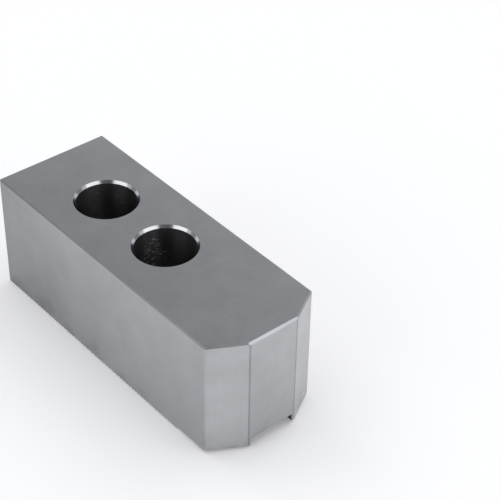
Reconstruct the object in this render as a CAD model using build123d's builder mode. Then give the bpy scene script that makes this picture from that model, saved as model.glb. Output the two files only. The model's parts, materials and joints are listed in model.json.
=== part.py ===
from build123d import *
import math
import os

# A machinable top jaw for a power chuck, one block of steel, in millimetres.
# X runs from the back face to the pointed nose, Y across the jaw and Z up. The origin is on
# the tips of the serrations, half way along the jaw and half way across it.

# Block
length = 110.0
width = 40.0
height = 41.0

# Nose, a flat with a facet on each side, so that the jaws of a set close towards a point
nose_flat_width = 17.5
nose_facet_angle = 30.0

# Base, two serrated rails with a tenon slot between them
slot_width = 16.0
slot_depth = 3.6
serrated_length = 90.0
rail_end_run = 1.1
land_relief = 0.1

# Serrations across the rails, 1.5 mm x 60 degrees
tooth_pitch = 1.5
tooth_angle = 60.0
tooth_tip_flat = 0.4
tooth_root_flat = 0.2
last_tooth_flat = 1.1

# Bolt holes, counterbored from the top face for socket head screws
bolt_spacing = 30.0
rear_bolt_from_back = 30.0
bolt_hole_diameter = 13.0
counterbore_diameter = 19.5
counterbore_depth = 24.0
rim_chamfer_width = 0.65
rim_chamfer_depth = 0.9
bolt_hole_chamfer = 0.4

# Broken edges
corner_break = 0.3
top_edge_break = 0.45
nose_top_break = 0.65
back_top_break = 0.3
base_edge_break = 0.15
slot_end_break = 0.1

# Places that follow from the sizes
back_x = -length / 2
nose_x = length / 2
facet_run = (width - nose_flat_width) / 2 * math.tan(math.radians(nose_facet_angle))
rail_end_x = back_x + serrated_length
rear_bolt_x = back_x + rear_bolt_from_back
bolt_centres = [(rear_bolt_x, 0), (rear_bolt_x + bolt_spacing, 0)]
flank_lean = math.tan(math.radians(tooth_angle / 2))
groove_mouth = tooth_pitch - tooth_tip_flat
tooth_depth = (groove_mouth - tooth_root_flat) / 2 / flank_lean
land_drop = tooth_depth + land_relief
first_groove_x = rail_end_x - last_tooth_flat - groove_mouth / 2
groove_count = math.floor((first_groove_x - groove_mouth / 2 - back_x - tooth_tip_flat) / tooth_pitch) + 1

# How far a cutting profile runs out past the face that it enters
runout = 1.0


def groove_profile():
    """One serration groove seen from the side: leaning flanks on a small flat root."""
    half_entry = groove_mouth / 2 + runout * flank_lean
    half_root = tooth_root_flat / 2
    Polygon(
        (-half_entry, -runout),
        (half_entry, -runout),
        (half_root, tooth_depth),
        (-half_root, tooth_depth),
        align=None,
    )


with BuildPart() as soft_jaw:
    # Plan outline with its faceted nose
    with BuildSketch() as outline:
        with BuildLine():
            Polyline(
                (back_x, -width / 2),
                (nose_x - facet_run, -width / 2),
                (nose_x, -nose_flat_width / 2),
                (nose_x, nose_flat_width / 2),
                (nose_x - facet_run, width / 2),
                (back_x, width / 2),
                close=True,
            )
        make_face()
    extrude(amount=height)
    chamfer(soft_jaw.edges().filter_by(Axis.Z), corner_break)

    # Edge breaks round the top face, larger along the nose and smaller along the back
    top_edges = soft_jaw.faces().sort_by(Axis.Z)[-1].edges()
    chamfer(top_edges.sort_by(Axis.X)[-1], nose_top_break)
    top_edges = soft_jaw.faces().sort_by(Axis.Z)[-1].edges()
    chamfer(top_edges.sort_by(Axis.X)[0], back_top_break)
    top_edges = soft_jaw.faces().sort_by(Axis.Z)[-1].edges()
    chamfer(top_edges.sort_by(Axis.X)[1:-1], top_edge_break)

    # Land under the nose, past the sloped ends of the rails
    with BuildSketch(Plane.XZ) as land:
        Polygon(
            (rail_end_x - rail_end_run * runout / land_drop, -runout),
            (rail_end_x + rail_end_run, land_drop),
            (nose_x + runout, land_drop),
            (nose_x + runout, -runout),
            align=None,
        )
    extrude(amount=width, both=True, mode=Mode.SUBTRACT)

    # Tenon slot, open at both ends
    with BuildSketch(Plane.YZ.offset(back_x)) as slot:
        with Locations((0, slot_depth / 2)):
            Rectangle(slot_width, slot_depth)
    extrude(amount=length, mode=Mode.SUBTRACT)

    # Edge breaks at the ends of the slot, then all round the underside of each rail and land
    slot_edges = soft_jaw.edges().filter_by_position(Axis.Y, -slot_width / 2, slot_width / 2)
    slot_ends = slot_edges.filter_by_position(Axis.Z, land_drop, slot_depth) - slot_edges.filter_by(Axis.X)
    chamfer(slot_ends, slot_end_break)
    underside = soft_jaw.edges().filter_by_position(Axis.Z, 0, land_drop + base_edge_break)
    bends = underside.filter_by(Axis.Y).filter_by_position(Axis.X, rail_end_x, rail_end_x + rail_end_run)
    chamfer(underside - bends, base_edge_break)

    # Bolt holes from the top face down to the slot, countersunk a little where they meet it
    with Locations(Plane.XY.offset(height)):
        with Locations(*bolt_centres):
            CounterBoreHole(bolt_hole_diameter / 2, counterbore_diameter / 2, counterbore_depth)
    rims = soft_jaw.edges().filter_by(GeomType.CIRCLE).group_by(Axis.Z)[-1]
    top_face = soft_jaw.faces().sort_by(Axis.Z)[-1]
    chamfer(rims, rim_chamfer_width, rim_chamfer_depth, reference=top_face)
    with Locations(Location((0, 0, slot_depth), (180, 0, 0))):
        with Locations(*bolt_centres):
            CounterSinkHole(
                bolt_hole_diameter / 2,
                bolt_hole_diameter / 2 + bolt_hole_chamfer,
                depth=height - slot_depth - counterbore_depth,
                counter_sink_angle=90,
            )

    # Serrations, cut right across both rails from the nose end to the back
    with BuildSketch(Plane.XZ) as grooves:
        with Locations(*[(first_groove_x - i * tooth_pitch, 0) for i in range(groove_count)]):
            groove_profile()
    extrude(amount=width, both=True, mode=Mode.SUBTRACT)

soft_jaw.part.label = "soft_jaw"

os.makedirs("parts", exist_ok=True)
export_step(soft_jaw.part, "parts/soft_jaw.step")
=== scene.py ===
"""A machinable soft jaw in ground and milled steel, standing on its serrated base on a pale floor."""

import json
import logging
import math
from dataclasses import dataclass
from enum import Enum

import bmesh
import bpy
from mathutils import Matrix, Vector

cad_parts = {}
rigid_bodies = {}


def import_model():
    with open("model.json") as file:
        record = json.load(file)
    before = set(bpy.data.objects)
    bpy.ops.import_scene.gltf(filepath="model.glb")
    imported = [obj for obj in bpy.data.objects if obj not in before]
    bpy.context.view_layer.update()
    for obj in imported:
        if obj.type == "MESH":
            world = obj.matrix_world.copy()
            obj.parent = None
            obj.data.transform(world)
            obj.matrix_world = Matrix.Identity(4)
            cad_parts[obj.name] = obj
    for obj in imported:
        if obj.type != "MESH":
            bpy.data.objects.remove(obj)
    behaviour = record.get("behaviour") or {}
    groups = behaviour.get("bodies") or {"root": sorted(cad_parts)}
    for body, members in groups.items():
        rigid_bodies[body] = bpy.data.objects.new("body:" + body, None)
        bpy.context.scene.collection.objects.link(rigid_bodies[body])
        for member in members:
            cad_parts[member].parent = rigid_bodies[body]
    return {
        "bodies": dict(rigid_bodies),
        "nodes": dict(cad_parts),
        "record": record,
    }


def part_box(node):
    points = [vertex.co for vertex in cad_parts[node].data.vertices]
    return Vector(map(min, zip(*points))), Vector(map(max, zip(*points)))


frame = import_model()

log = logging.getLogger("soft_jaw_scene")

# One millimetre and one micrometre, in metres
MM = 0.001
MICROMETRE = 0.000001

Node = bpy.types.Node
Socket = bpy.types.NodeSocket
Tree = bpy.types.NodeTree


def linear(hex_colour: str) -> tuple[float, float, float, float]:
    """Turns an sRGB hex colour into the linear colour that the shaders take.

    Args:
        hex_colour: Six hex digits after a "#".

    Returns:
        Red, green, blue and an alpha of 1.
    """
    channels = (int(hex_colour[i : i + 2], 16) / 255 for i in (1, 3, 5))
    r, g, b = (c / 12.92 if c <= 0.04045 else ((c + 0.055) / 1.055) ** 2.4 for c in channels)
    return r, g, b, 1.0


def add_node(tree: Tree, kind: str, settings: dict | None = None, links: dict | None = None) -> Node:
    """Adds one node with its settings and links.

    Args:
        tree: The node tree that gets it.
        kind: Blender's name of the node type.
        settings: Values by the name of the node's own property, or else by its input's name or number.
        links: Output sockets by the name or number of the input that each one feeds.

    Returns:
        The new node.
    """
    node = tree.nodes.new(kind)
    for name, value in (settings or {}).items():
        if isinstance(name, str) and hasattr(node, name):
            setattr(node, name, value)
        else:
            node.inputs[name].default_value = value
    for name, socket in (links or {}).items():
        tree.links.new(socket, node.inputs[name])
    return node


def mount(name: str) -> dict:
    """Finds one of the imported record's mounts.

    Args:
        name: The mount's name.

    Returns:
        The mount, with its place and its sizes.
    """
    return next(found for found in frame["record"]["mounts"] if found["name"] == name)


class Marks(Enum):
    """The way the tool marks of a finish run, as the size of a mark along X, Y and Z in mm.

    Real marks are a few hundredths of a millimetre wide. These are drawn as coarse as they need to show.
    """

    ALONG = (33.0, 0.38, 0.38)
    UPRIGHT = (0.45, 0.45, 40.0)
    RINGS = (20.0, 20.0, 0.33)
    TORN = (1.67, 1.67, 0.5)


@dataclass(frozen=True)
class Finish:
    """One way that a surface of the jaw is machined.

    Attributes:
        colour: The steel's sRGB colour under this finish.
        roughness: How widely it spreads a reflection.
        relief: How deep its tool marks are, in micrometres.
        marks: The way its tool marks run.
    """

    colour: str
    roughness: float
    relief: float
    marks: Marks


# Ground steel: fine lines along the jaw, an even satin grey
GROUND = Finish("#acadb0", 0.28, 2.0, Marks.ALONG)
# Steel milled with the side of an end mill: upright marks, a little brighter
MILLED = Finish("#b2b3b6", 0.28, 2.0, Marks.UPRIGHT)
# Slot floor, milled along the jaw, with the matt look that coolant leaves
SLOT_MILLED = Finish("#898b8f", 0.40, 4.0, Marks.ALONG)
# Foot of the slot's sides, dark where oil and fine swarf have dried, and darker still with painted shade
# deep in the slot
SLOT_STAIN_AND_SHADE = Finish("#535559", 0.50, 4.0, Marks.ALONG)
# Serrations, ground by a formed wheel across the rails: clean and bright
SERRATED = Finish("#b4b6ba", 0.30, 2.0, Marks.RINGS)
# Rims turned with a countersink, the smoothest and brightest part of the steel
TURNED_RIM = Finish("#c9cacc", 0.16, 1.0, Marks.RINGS)
# Edges over the nose, its facets and the back, broken with a file and left bright
FILED_EDGE = Finish("#c3c4c7", 0.31, 2.0, Marks.UPRIGHT)
# Edges over the long sides, broken with a stone and darker, most of all towards the back
DARK_EDGE = Finish("#939497", 0.30, 2.0, Marks.ALONG)
# Upright corners of the nose, barely broken and darker
DARK_CORNER = Finish("#98999c", 0.34, 2.0, Marks.UPRIGHT)
# Bores as the counterbore leaves them, darkened as painted shade inside them: fine rings that smear a
# reflection up and down
BORED = Finish("#5a5a5c", 0.34, 3.0, Marks.RINGS)
# Spots in the bores where the tool tore the steel: rough, and lighter, without the bores' painted shade
TORN_SPOT = Finish("#a2a2a4", 0.40, 100.0, Marks.TORN)


@dataclass(frozen=True)
class Surface:
    """The sockets that say where the surface is and how it faces.

    Attributes:
        place: The place on the jaw as a vector, in mm.
        x: The place along the jaw, in mm.
        y: The place across the jaw, in mm.
        z: The height, in mm.
        face_x: How squarely the surface faces along the jaw, from 0 to 1.
        face_y: How squarely it faces across the jaw.
        face_z: How squarely it faces up or down.
    """

    place: Socket
    x: Socket
    y: Socket
    z: Socket
    face_x: Socket
    face_y: Socket
    face_z: Socket


@dataclass
class SoftJaw:
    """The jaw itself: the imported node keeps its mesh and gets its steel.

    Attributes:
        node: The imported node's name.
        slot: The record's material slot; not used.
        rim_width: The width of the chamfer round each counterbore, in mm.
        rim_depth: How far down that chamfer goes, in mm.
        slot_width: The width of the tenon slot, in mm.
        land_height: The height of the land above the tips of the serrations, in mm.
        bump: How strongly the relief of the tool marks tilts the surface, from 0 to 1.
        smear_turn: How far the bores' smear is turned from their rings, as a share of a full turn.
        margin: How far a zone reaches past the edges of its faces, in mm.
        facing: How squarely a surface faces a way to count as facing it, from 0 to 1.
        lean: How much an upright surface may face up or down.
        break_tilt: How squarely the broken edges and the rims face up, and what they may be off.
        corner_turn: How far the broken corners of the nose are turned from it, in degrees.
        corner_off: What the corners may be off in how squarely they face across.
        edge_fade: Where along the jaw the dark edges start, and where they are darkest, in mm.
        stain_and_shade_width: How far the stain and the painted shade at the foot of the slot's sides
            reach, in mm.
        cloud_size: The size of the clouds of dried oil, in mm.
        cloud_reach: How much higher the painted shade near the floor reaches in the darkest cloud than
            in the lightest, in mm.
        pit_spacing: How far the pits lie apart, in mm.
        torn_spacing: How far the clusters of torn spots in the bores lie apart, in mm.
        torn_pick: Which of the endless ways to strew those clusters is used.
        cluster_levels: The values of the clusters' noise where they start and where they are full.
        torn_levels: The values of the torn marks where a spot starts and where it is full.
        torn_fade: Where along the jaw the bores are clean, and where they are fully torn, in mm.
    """

    node: str = "soft_jaw"
    slot: str = "machined_steel"
    rim_width: float = 0.65
    rim_depth: float = 0.9
    slot_width: float = 16.0
    land_height: float = 0.88
    bump: float = 0.5
    smear_turn: float = 0.25
    margin: float = 0.03
    facing: float = 0.6
    lean: float = 0.1
    break_tilt: tuple[float, float] = (0.66, 0.14)
    corner_turn: float = 15.0
    corner_off: float = 0.05
    edge_fade: tuple[float, float] = (70.0, -30.0)
    stain_and_shade_width: float = 2.5
    cloud_size: float = 11.1
    cloud_reach: float = 30.0
    pit_spacing: float = 4.0
    torn_spacing: float = 7.7
    torn_pick: float = 9.2
    cluster_levels: tuple[float, float] = (0.54, 0.64)
    torn_levels: tuple[float, float] = (0.54, 0.62)
    torn_fade: tuple[float, float] = (-42.0, -5.0)

    def build(self) -> bpy.types.Object:
        """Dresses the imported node.

        Returns:
            The node's object.
        """
        jaw = frame["nodes"][self.node]
        steel = self.steel()
        for material_slot in jaw.material_slots:
            material_slot.material = steel
        return jaw

    def steel(self) -> bpy.types.Material:
        """Makes the steel, with the finish of each zone chosen by where the surface is and how it faces.

        Returns:
            The material.
        """
        material = bpy.data.materials.new("machined_steel")
        material.use_nodes = True
        tree = material.node_tree
        tree.nodes.clear()
        surface = self.surface(tree)
        patterns = {marks: self.pattern(tree, surface, marks) for marks in Marks}
        zones = self.zones(tree, surface, patterns)
        colour, roughness, relief, marks = self.layers(tree, patterns, zones)
        bump = add_node(
            tree, "ShaderNodeBump", {"Strength": self.bump}, {"Height": marks, "Distance": relief}
        )
        # The bores' rings run round an upright axis, and spread a reflection up and down
        round_z = add_node(tree, "ShaderNodeTangent", {"direction_type": "RADIAL", "axis": "Z"})
        shader = add_node(
            tree, "ShaderNodeBsdfPrincipled",
            {"Metallic": 1.0, "Anisotropic Rotation": self.smear_turn},
            {
                "Base Color": self.wear_and_painted_shade(tree, surface, colour, marks),
                "Roughness": roughness,
                "Normal": bump.outputs[0],
                "Anisotropic": zones[BORED],
                "Tangent": round_z.outputs[0],
            },
        )
        add_node(tree, "ShaderNodeOutputMaterial", None, {"Surface": shader.outputs[0]})
        return material

    def surface(self, tree: Tree) -> Surface:
        """Adds the nodes that say where the surface is and how it faces.

        Args:
            tree: The steel's node tree.

        Returns:
            Their sockets.
        """
        coordinates = add_node(tree, "ShaderNodeTexCoord")
        place = add_node(
            tree, "ShaderNodeVectorMath", {"operation": "SCALE", "Scale": 1 / MM},
            {0: coordinates.outputs["Object"]},
        )
        geometry = add_node(tree, "ShaderNodeNewGeometry")
        facing = add_node(
            tree, "ShaderNodeVectorMath", {"operation": "ABSOLUTE"},
            {0: geometry.outputs["True Normal"]},
        )
        places = add_node(tree, "ShaderNodeSeparateXYZ", None, {0: place.outputs[0]})
        faces = add_node(tree, "ShaderNodeSeparateXYZ", None, {0: facing.outputs[0]})
        return Surface(place.outputs[0], *places.outputs, *faces.outputs)

    def pattern(self, tree: Tree, surface: Surface, marks: Marks) -> Socket:
        """Adds one kind of tool marks.

        Args:
            tree: The steel's node tree.
            surface: Where the surface is.
            marks: The way the marks run.

        Returns:
            The marks as a value from 0 to 1.
        """
        per_mm = [1 / size for size in marks.value]
        stretched = add_node(tree, "ShaderNodeMapping", {"Scale": per_mm}, {"Vector": surface.place})
        noise = add_node(
            tree, "ShaderNodeTexNoise", {"Scale": 1.0, "Detail": 3.0, "Roughness": 0.6},
            {"Vector": stretched.outputs[0]},
        )
        return noise.outputs["Fac"]

    def zones(
        self, tree: Tree, surface: Surface, patterns: dict[Marks, Socket]
    ) -> dict[Finish, Socket]:
        """Adds the masks of the zones, from the record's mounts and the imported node's box.

        Args:
            tree: The steel's node tree.
            surface: Where the surface is and how it faces.
            patterns: The tool marks.

        Returns:
            Each finish with its mask, in the order in which it covers those before it.
        """
        bolts = mount("chuck_bolts")
        middle_x = bolts["pos_m"][0] / MM
        half_spacing = bolts["dims"]["spacing_x_mm"] / 2
        bore_radius = mount("rear_counterbore")["dims"]["r_mm"]
        slot_top = mount("tenon_slot")["pos_m"][2] / MM + self.margin
        slot_side = self.slot_width / 2 + self.margin
        bore_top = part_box(self.node)[1].z / MM - self.rim_depth
        corner_tilt = math.sin(math.radians(self.corner_turn))

        # The jaw folded at the middle of its two bores, so that both have one axis
        along = add_node(
            tree, "ShaderNodeMath", {"operation": "SUBTRACT", 1: middle_x}, {0: surface.x}
        )
        folded = add_node(tree, "ShaderNodeMath", {"operation": "ABSOLUTE"}, {0: along.outputs[0]})
        off_axis = add_node(
            tree, "ShaderNodeMath", {"operation": "SUBTRACT", 1: half_spacing}, {0: folded.outputs[0]}
        )
        flat = add_node(tree, "ShaderNodeCombineXYZ", None, {"X": off_axis.outputs[0], "Y": surface.y})
        length = add_node(tree, "ShaderNodeVectorMath", {"operation": "LENGTH"}, {0: flat.outputs[0]})
        radius = length.outputs["Value"]
        across = add_node(tree, "ShaderNodeMath", {"operation": "ABSOLUTE"}, {0: surface.y}).outputs[0]
        clusters = add_node(
            tree, "ShaderNodeTexNoise",
            {
                "noise_dimensions": "4D",
                "W": self.torn_pick,
                "Scale": 1 / self.torn_spacing,
                "Detail": 1.0,
            },
            {"Vector": surface.place},
        )

        # A socket and the limit that it is compared with
        tests = {
            "near_axis": ("LESS_THAN", radius, bore_radius + self.margin),
            "on_rim": ("LESS_THAN", radius, bore_radius + self.rim_width + self.margin),
            "below_rim": ("LESS_THAN", surface.z, bore_top),
            "above_bores": ("GREATER_THAN", surface.z, bore_top),
            "above_slot": ("GREATER_THAN", surface.z, slot_top),
            "below_slot_floor": ("LESS_THAN", surface.z, slot_top),
            "between_rails": ("LESS_THAN", across, slot_side),
            "on_rails": ("LESS_THAN", surface.z, self.land_height + self.margin),
            "faces_along": ("GREATER_THAN", surface.face_x, self.facing),
            "faces_across": ("GREATER_THAN", surface.face_y, self.facing),
            "upright": ("LESS_THAN", surface.face_z, self.lean),
        }
        # A socket and the values where the mask is 0 and 1
        fades = {
            "foot": (across, slot_side - self.stain_and_shade_width, slot_side),
            "rearward": (surface.x, *self.edge_fade),
            "clustered": (clusters.outputs["Fac"], *self.cluster_levels),
            "torn": (patterns[Marks.TORN], *self.torn_levels),
            "in_front": (surface.x, *self.torn_fade),
        }
        # A socket and the value that it has on a tilted face, with what it may be off
        tilts = {
            "broken": (surface.face_z, *self.break_tilt),
            "cornered": (surface.face_y, corner_tilt, self.corner_off),
        }
        found = {}
        for name, (operation, socket, limit) in tests.items():
            found[name] = add_node(
                tree, "ShaderNodeMath", {"operation": operation, 1: limit}, {0: socket}
            ).outputs[0]
        for name, (socket, low, high) in fades.items():
            found[name] = add_node(
                tree, "ShaderNodeMapRange", {"From Min": low, "From Max": high}, {"Value": socket}
            ).outputs["Result"]
        for name, (socket, value, off) in tilts.items():
            found[name] = add_node(
                tree, "ShaderNodeMath", {"operation": "COMPARE", 1: value, 2: off}, {0: socket}
            ).outputs[0]

        # The masks that make each zone together
        products = {
            MILLED: ("faces_along", "upright"),
            DARK_CORNER: ("cornered", "upright"),
            SERRATED: ("on_rails",),
            SLOT_MILLED: ("between_rails", "below_slot_floor"),
            SLOT_STAIN_AND_SHADE: ("between_rails", "below_slot_floor", "foot"),
            FILED_EDGE: ("broken", "faces_along", "above_bores"),
            DARK_EDGE: ("broken", "faces_across", "above_bores", "rearward"),
            TURNED_RIM: ("broken", "on_rim"),
            BORED: ("near_axis", "above_slot", "below_rim"),
            TORN_SPOT: ("near_axis", "above_slot", "below_rim", "clustered", "torn", "in_front"),
        }
        masks = {}
        for finish, names in products.items():
            mask = found[names[0]]
            for name in names[1:]:
                mask = add_node(
                    tree, "ShaderNodeMath", {"operation": "MULTIPLY"}, {0: mask, 1: found[name]}
                ).outputs[0]
            masks[finish] = mask
        return masks

    def layers(
        self, tree: Tree, patterns: dict[Marks, Socket], zones: dict[Finish, Socket]
    ) -> tuple[Socket, Socket, Socket, Socket]:
        """Lays the finish of each zone over the ground steel.

        Args:
            tree: The steel's node tree.
            patterns: The tool marks.
            zones: Each finish with its mask.

        Returns:
            The colour, the roughness, the depth of the tool marks in metres, and the tool marks.
        """
        colour = add_node(tree, "ShaderNodeRGB").outputs[0]
        colour.default_value = linear(GROUND.colour)
        roughness = add_node(tree, "ShaderNodeValue").outputs[0]
        roughness.default_value = GROUND.roughness
        relief = add_node(tree, "ShaderNodeValue").outputs[0]
        relief.default_value = GROUND.relief * MICROMETRE
        marks = patterns[GROUND.marks]
        # A Mix node's sockets share their names, so its inputs and outputs go by number
        for finish, mask in zones.items():
            colour = add_node(
                tree, "ShaderNodeMix", {"data_type": "RGBA", 7: linear(finish.colour)},
                {0: mask, 6: colour},
            ).outputs[2]
            roughness = add_node(
                tree, "ShaderNodeMix", {"data_type": "FLOAT", 3: finish.roughness},
                {0: mask, 2: roughness},
            ).outputs[0]
            relief = add_node(
                tree, "ShaderNodeMix", {"data_type": "FLOAT", 3: finish.relief * MICROMETRE},
                {0: mask, 2: relief},
            ).outputs[0]
            marks = add_node(
                tree, "ShaderNodeMix", {"data_type": "FLOAT"},
                {0: mask, 2: marks, 3: patterns[finish.marks]},
            ).outputs[0]
        return colour, roughness, relief, marks

    def wear_and_painted_shade(self, tree: Tree, surface: Surface, colour: Socket, marks: Socket) -> Socket:
        """Varies the colour: clouds of dried oil, tool marks and a few pits, with painted shade near the
        floor, on the long sides, the nose, the back and the top.

        Args:
            tree: The steel's node tree.
            surface: Where the surface is and how it faces.
            colour: The colour that the finishes give.
            marks: The tool marks.

        Returns:
            The varied colour.
        """
        cloud = add_node(
            tree, "ShaderNodeTexNoise",
            {"Scale": 1 / self.cloud_size, "Detail": 6.0, "Roughness": 0.65},
            {"Vector": surface.place},
        ).outputs["Fac"]
        pits = add_node(
            tree, "ShaderNodeTexVoronoi", {"Scale": 1 / self.pit_spacing}, {"Vector": surface.place}
        ).outputs["Distance"]
        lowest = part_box(self.node)[0] / MM
        back, near_side = lowest.x, lowest.y
        # A place less 200 mm where the surface faces that way, so that a shade keeps to such faces
        apart = -200.0
        # Each row has a value, its factor, and what is added to it
        sums = (
            (surface.face_y, apart, surface.x),
            (surface.face_y, apart, surface.z),
            (surface.face_x, apart, surface.z),
            (surface.face_z, apart, surface.y),
            (cloud, self.cloud_reach, surface.z),
        )
        sides_x, sides_z, ends_z, top_y, cloudy_z = (
            add_node(
                tree, "ShaderNodeMath", {"operation": "MULTIPLY_ADD", 1: factor}, {0: first, 2: second}
            ).outputs[0]
            for first, factor, second in sums
        )
        # Each row has a value, its low and its high end, and the factor on the colour at each end
        shades = (
            # All over: clouds, tool marks, pits, and a painted shade near the floor with a cloudy edge
            (cloud, 0.3, 0.7, 0.92, 1.06),
            (marks, 0.0, 1.0, 0.96, 1.04),
            (pits, 0.03, 0.07, 0.7, 1.0),
            (cloudy_z, 14.0, 18.0, 0.88, 1.0),
            # The long sides: painted shade, darker towards the back, most of all near it, and towards
            # the floor
            (sides_x, apart + back, apart + 10.0, 0.75, 1.0),
            (sides_x, apart + back, apart - 12.0, 0.88, 1.0),
            (sides_z, apart, apart + 60.0, 0.9, 1.0),
            # The nose and the back: painted shade, a little darker towards the floor
            (ends_z, apart + 20.0, apart + 32.0, 0.96, 1.0),
            # The top: painted shade, darker than the rest, and most towards one side
            (top_y, apart + near_side, apart + 34.5, 0.82, 1.0),
        )
        for value, low, high, darkest, lightest in shades:
            shade = add_node(
                tree, "ShaderNodeMapRange",
                {"From Min": low, "From Max": high, "To Min": darkest, "To Max": lightest},
                {"Value": value},
            ).outputs["Result"]
            colour = add_node(
                tree, "ShaderNodeVectorMath", {"operation": "SCALE"}, {0: colour, "Scale": shade}
            ).outputs[0]
        return colour


@dataclass
class StudioFloor:
    """The pale floor that the jaw stands on.

    Attributes:
        half_width: Half the floor's side, in metres.
        colour: The floor's sRGB colour.
        lift: What the camera and the reflections see on top of the lit floor, so that it reads as white.
        far_lift: The same far from the lamps, so that the floor fades into the walls.
        near: How far from the jaw the floor starts to fade, in metres.
        far: How far from the jaw it has faded, in metres.
    """

    half_width: float = 3.0
    colour: str = "#f6f6f6"
    lift: float = 0.15
    far_lift: float = 0.32
    near: float = 0.4
    far: float = 1.3

    def build(self) -> bpy.types.Object:
        """Makes the floor.

        Returns:
            The floor's object.
        """
        sheet = bmesh.new()
        bmesh.ops.create_grid(sheet, x_segments=1, y_segments=1, size=self.half_width)
        mesh = bpy.data.meshes.new("studio_floor")
        sheet.to_mesh(mesh)
        sheet.free()
        floor = bpy.data.objects.new("studio_floor", mesh)
        bpy.context.scene.collection.objects.link(floor)
        mesh.materials.append(self.paper())
        return floor

    def paper(self) -> bpy.types.Material:
        """Makes the floor's matt white paper.

        Returns:
            The material.
        """
        material = bpy.data.materials.new("matt_paper")
        material.use_nodes = True
        tree = material.node_tree
        tree.nodes.clear()
        diffuse = add_node(tree, "ShaderNodeBsdfDiffuse", {"Color": linear(self.colour)})
        rays = add_node(tree, "ShaderNodeLightPath").outputs
        mirrored = add_node(
            tree, "ShaderNodeMath", {"operation": "MAXIMUM"},
            {0: rays["Is Glossy Ray"], 1: rays["Is Transmission Ray"]},
        )
        seen = add_node(
            tree, "ShaderNodeMath", {"operation": "MAXIMUM"},
            {0: rays["Is Camera Ray"], 1: mirrored.outputs[0]},
        )
        coordinates = add_node(tree, "ShaderNodeTexCoord")
        away = add_node(
            tree, "ShaderNodeVectorMath", {"operation": "LENGTH"}, {0: coordinates.outputs["Object"]}
        )
        lift = add_node(
            tree, "ShaderNodeMapRange",
            {"From Min": self.near, "From Max": self.far, "To Min": self.lift, "To Max": self.far_lift},
            {"Value": away.outputs["Value"]},
        )
        strength = add_node(
            tree, "ShaderNodeMath", {"operation": "MULTIPLY"},
            {0: seen.outputs[0], 1: lift.outputs["Result"]},
        )
        glow = add_node(tree, "ShaderNodeEmission", None, {"Strength": strength.outputs[0]})
        both = add_node(tree, "ShaderNodeAddShader", None, {0: diffuse.outputs[0], 1: glow.outputs[0]})
        add_node(tree, "ShaderNodeOutputMaterial", None, {"Surface": both.outputs[0]})
        return material


def direction(azimuth: float, elevation: float) -> Vector:
    """Gives the way from the jaw to a place in the room.

    Args:
        azimuth: Degrees from +X towards +Y.
        elevation: Degrees above the floor.

    Returns:
        A vector of length 1.
    """
    a, e = math.radians(azimuth), math.radians(elevation)
    return Vector((math.cos(a) * math.cos(e), math.sin(a) * math.cos(e), math.sin(e)))


@dataclass(frozen=True)
class SoftBox:
    """One soft box, a lamp with a wide even face.

    Attributes:
        name: What the lamp is called.
        azimuth: Where it stands round the jaw, in degrees from +X towards +Y.
        elevation: How high it stands as seen from the jaw, in degrees.
        distance: How far it stands from the jaw, in metres.
        width: The width of its face, in metres.
        height: The height of its face, in metres.
        brightness: The radiance of its face, where 1 is a white surface in plain light.
    """

    name: str
    azimuth: float
    elevation: float
    distance: float
    width: float
    height: float
    brightness: float

    def build(self) -> bpy.types.Object:
        """Hangs the lamp so that it faces the jaw.

        Returns:
            The lamp's object.
        """
        lamp = bpy.data.lights.new(self.name, "AREA")
        lamp.shape = "RECTANGLE"
        lamp.size = self.width
        lamp.size_y = self.height
        lamp.energy = math.pi * self.brightness * self.width * self.height
        box = bpy.data.objects.new(self.name, lamp)
        bpy.context.scene.collection.objects.link(box)
        towards = direction(self.azimuth, self.elevation)
        box.location = towards * self.distance
        box.rotation_euler = towards.to_track_quat("Z", "Y").to_euler()
        return box


@dataclass(frozen=True)
class DimPatch:
    """A part of the room with less light in it, such as the dark side behind a camera.

    Attributes:
        azimuth: Where its middle is round the jaw, in degrees from +X towards +Y.
        elevation: How high its middle is, in degrees.
        core: How far it is fully dim from its middle, in degrees.
        reach: How far it reaches from its middle, in degrees.
        level: What share of the light is left in its core.
    """

    azimuth: float
    elevation: float
    core: float
    reach: float
    level: float


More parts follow.
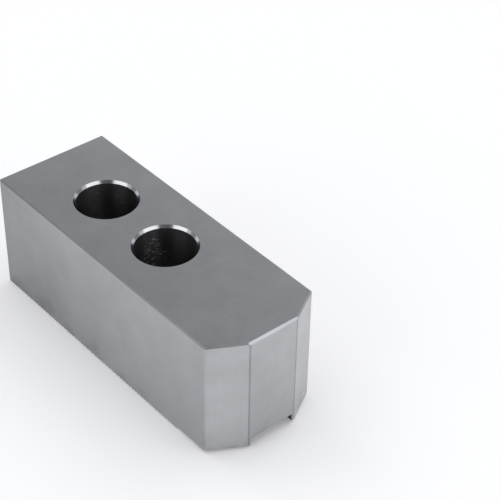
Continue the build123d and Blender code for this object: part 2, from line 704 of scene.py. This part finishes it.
@dataclass
class Studio:
    """The room round the jaw: pale walls with a dimmer band and dim patches, and the soft boxes.

    Attributes:
        levels: Pairs of elevation in degrees and brightness, from the floor up.
        tint: The room's sRGB colour.
        patches: The dim patches.
        boxes: The lamps.
    """

    levels: tuple[tuple[float, float], ...] = (
        (0.0, 0.9), (12.0, 0.85), (38.0, 0.53), (56.0, 0.6), (72.0, 1.2), (90.0, 1.35),
    )
    tint: str = "#fafbfe"
    patches: tuple[DimPatch, ...] = (
        DimPatch(-36.0, 42.0, 14.0, 28.0, 0.28),
        DimPatch(-58.0, 58.0, 10.0, 30.0, 0.2),
        DimPatch(-136.0, 8.0, 8.0, 17.0, 0.36),
        DimPatch(66.0, 14.0, 8.0, 18.0, 0.35),
    )
    boxes: tuple[SoftBox, ...] = (
        SoftBox("box_right", 12.5, 31.0, 1.0, 0.80, 0.55, 0.85),
        SoftBox("box_left", -89.5, 31.0, 1.0, 0.75, 0.55, 0.85),
        SoftBox("box_back_right", 80.0, 54.0, 1.0, 0.75, 0.5, 1.2),
        SoftBox("box_back_left", 199.0, 54.0, 1.0, 0.75, 0.5, 1.2),
    )

    def build(self) -> bpy.types.World:
        """Makes the world and hangs the soft boxes.

        Returns:
            The world.
        """
        world = bpy.data.worlds.new("studio_room")
        bpy.context.scene.world = world
        world.use_nodes = True
        tree = world.node_tree
        tree.nodes.clear()
        way = add_node(tree, "ShaderNodeTexCoord").outputs["Generated"]
        height = add_node(tree, "ShaderNodeSeparateXYZ", None, {0: way}).outputs["Z"]
        walls = add_node(tree, "ShaderNodeValToRGB", None, {"Fac": height})
        ramp = walls.color_ramp
        while len(ramp.elements) < len(self.levels):
            # Half way for now: the loop below gives each element its place
            ramp.elements.new(0.5)
        for element, (elevation, level) in zip(ramp.elements, self.levels):
            element.position = math.sin(math.radians(elevation))
            element.color = [channel * level for channel in linear(self.tint)[:3]] + [1.0]
        light = walls.outputs["Color"]
        for patch in self.patches:
            middle = direction(patch.azimuth, patch.elevation)
            edge, core = (math.cos(math.radians(angle)) for angle in (patch.reach, patch.core))
            nearness = add_node(
                tree, "ShaderNodeVectorMath", {"operation": "DOT_PRODUCT", 1: middle}, {0: way}
            )
            share = add_node(
                tree, "ShaderNodeMapRange",
                {
                    "interpolation_type": "SMOOTHSTEP",
                    "From Min": edge,
                    "From Max": core,
                    "To Min": 1.0,
                    "To Max": patch.level,
                },
                {"Value": nearness.outputs["Value"]},
            )
            light = add_node(
                tree, "ShaderNodeVectorMath", {"operation": "SCALE"},
                {0: light, "Scale": share.outputs["Result"]},
            ).outputs[0]
        background = add_node(tree, "ShaderNodeBackground", None, {"Color": light})
        add_node(tree, "ShaderNodeOutputWorld", None, {"Surface": background.outputs[0]})
        for box in self.boxes:
            box.build()
        return world


@dataclass
class PhotoCamera:
    """The camera at the photograph's place.

    Attributes:
        location: Where it stands, in mm.
        azimuth: The way it looks, in degrees: 0 looks along +Y and 90 along -X.
        elevation: How far above the horizon it stands, in degrees.
        roll: How far it is turned about its line of sight, in degrees.
        lens: Focal length for the sensor's width, in mm.
        sensor: The sensor's width, in mm.
        clip_start: The nearest that it sees, in metres.
    """

    location: tuple[float, float, float] = (298.4, -218.8, 325.6)
    azimuth: float = 49.32
    elevation: float = 38.05
    roll: float = 1.04
    lens: float = 111.4
    sensor: float = 36.0
    clip_start: float = 0.01

    def build(self) -> bpy.types.Object:
        """Makes the camera the scene's own.

        Returns:
            The camera's object.
        """
        data = bpy.data.cameras.new("photo_camera")
        data.sensor_width = self.sensor
        data.lens = self.lens
        data.clip_start = self.clip_start
        camera = bpy.data.objects.new("photo_camera", data)
        bpy.context.scene.collection.objects.link(camera)
        a, e = math.radians(self.azimuth), math.radians(self.elevation)
        back = Vector((math.sin(a) * math.cos(e), -math.cos(a) * math.cos(e), math.sin(e)))
        right = Vector((math.cos(a), math.sin(a), 0.0))
        level = Matrix((right, back.cross(right), back)).transposed()
        turned = level @ Matrix.Rotation(math.radians(self.roll), 3, "Z")
        camera.matrix_world = Matrix.Translation(Vector(self.location) * MM) @ turned.to_4x4()
        bpy.context.scene.camera = camera
        return camera


def clear_startup() -> None:
    """Removes what the startup file holds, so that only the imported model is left."""
    kept = set(frame["nodes"].values()) | set(frame["bodies"].values())
    for thing in [o for o in bpy.data.objects if o not in kept]:
        bpy.data.objects.remove(thing)


def main() -> None:
    """Builds the scene, one class at a time, and reports each piece."""
    logging.basicConfig(level=logging.INFO, format="%(message)s")
    clear_startup()
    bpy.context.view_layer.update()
    bpy.context.scene.view_settings.view_transform = "Standard"
    for part in (PhotoCamera(), SoftJaw(), StudioFloor(), Studio()):
        log.info("%s: %s", type(part).__name__, part.build().name)


if __name__ == "__main__":
    main()
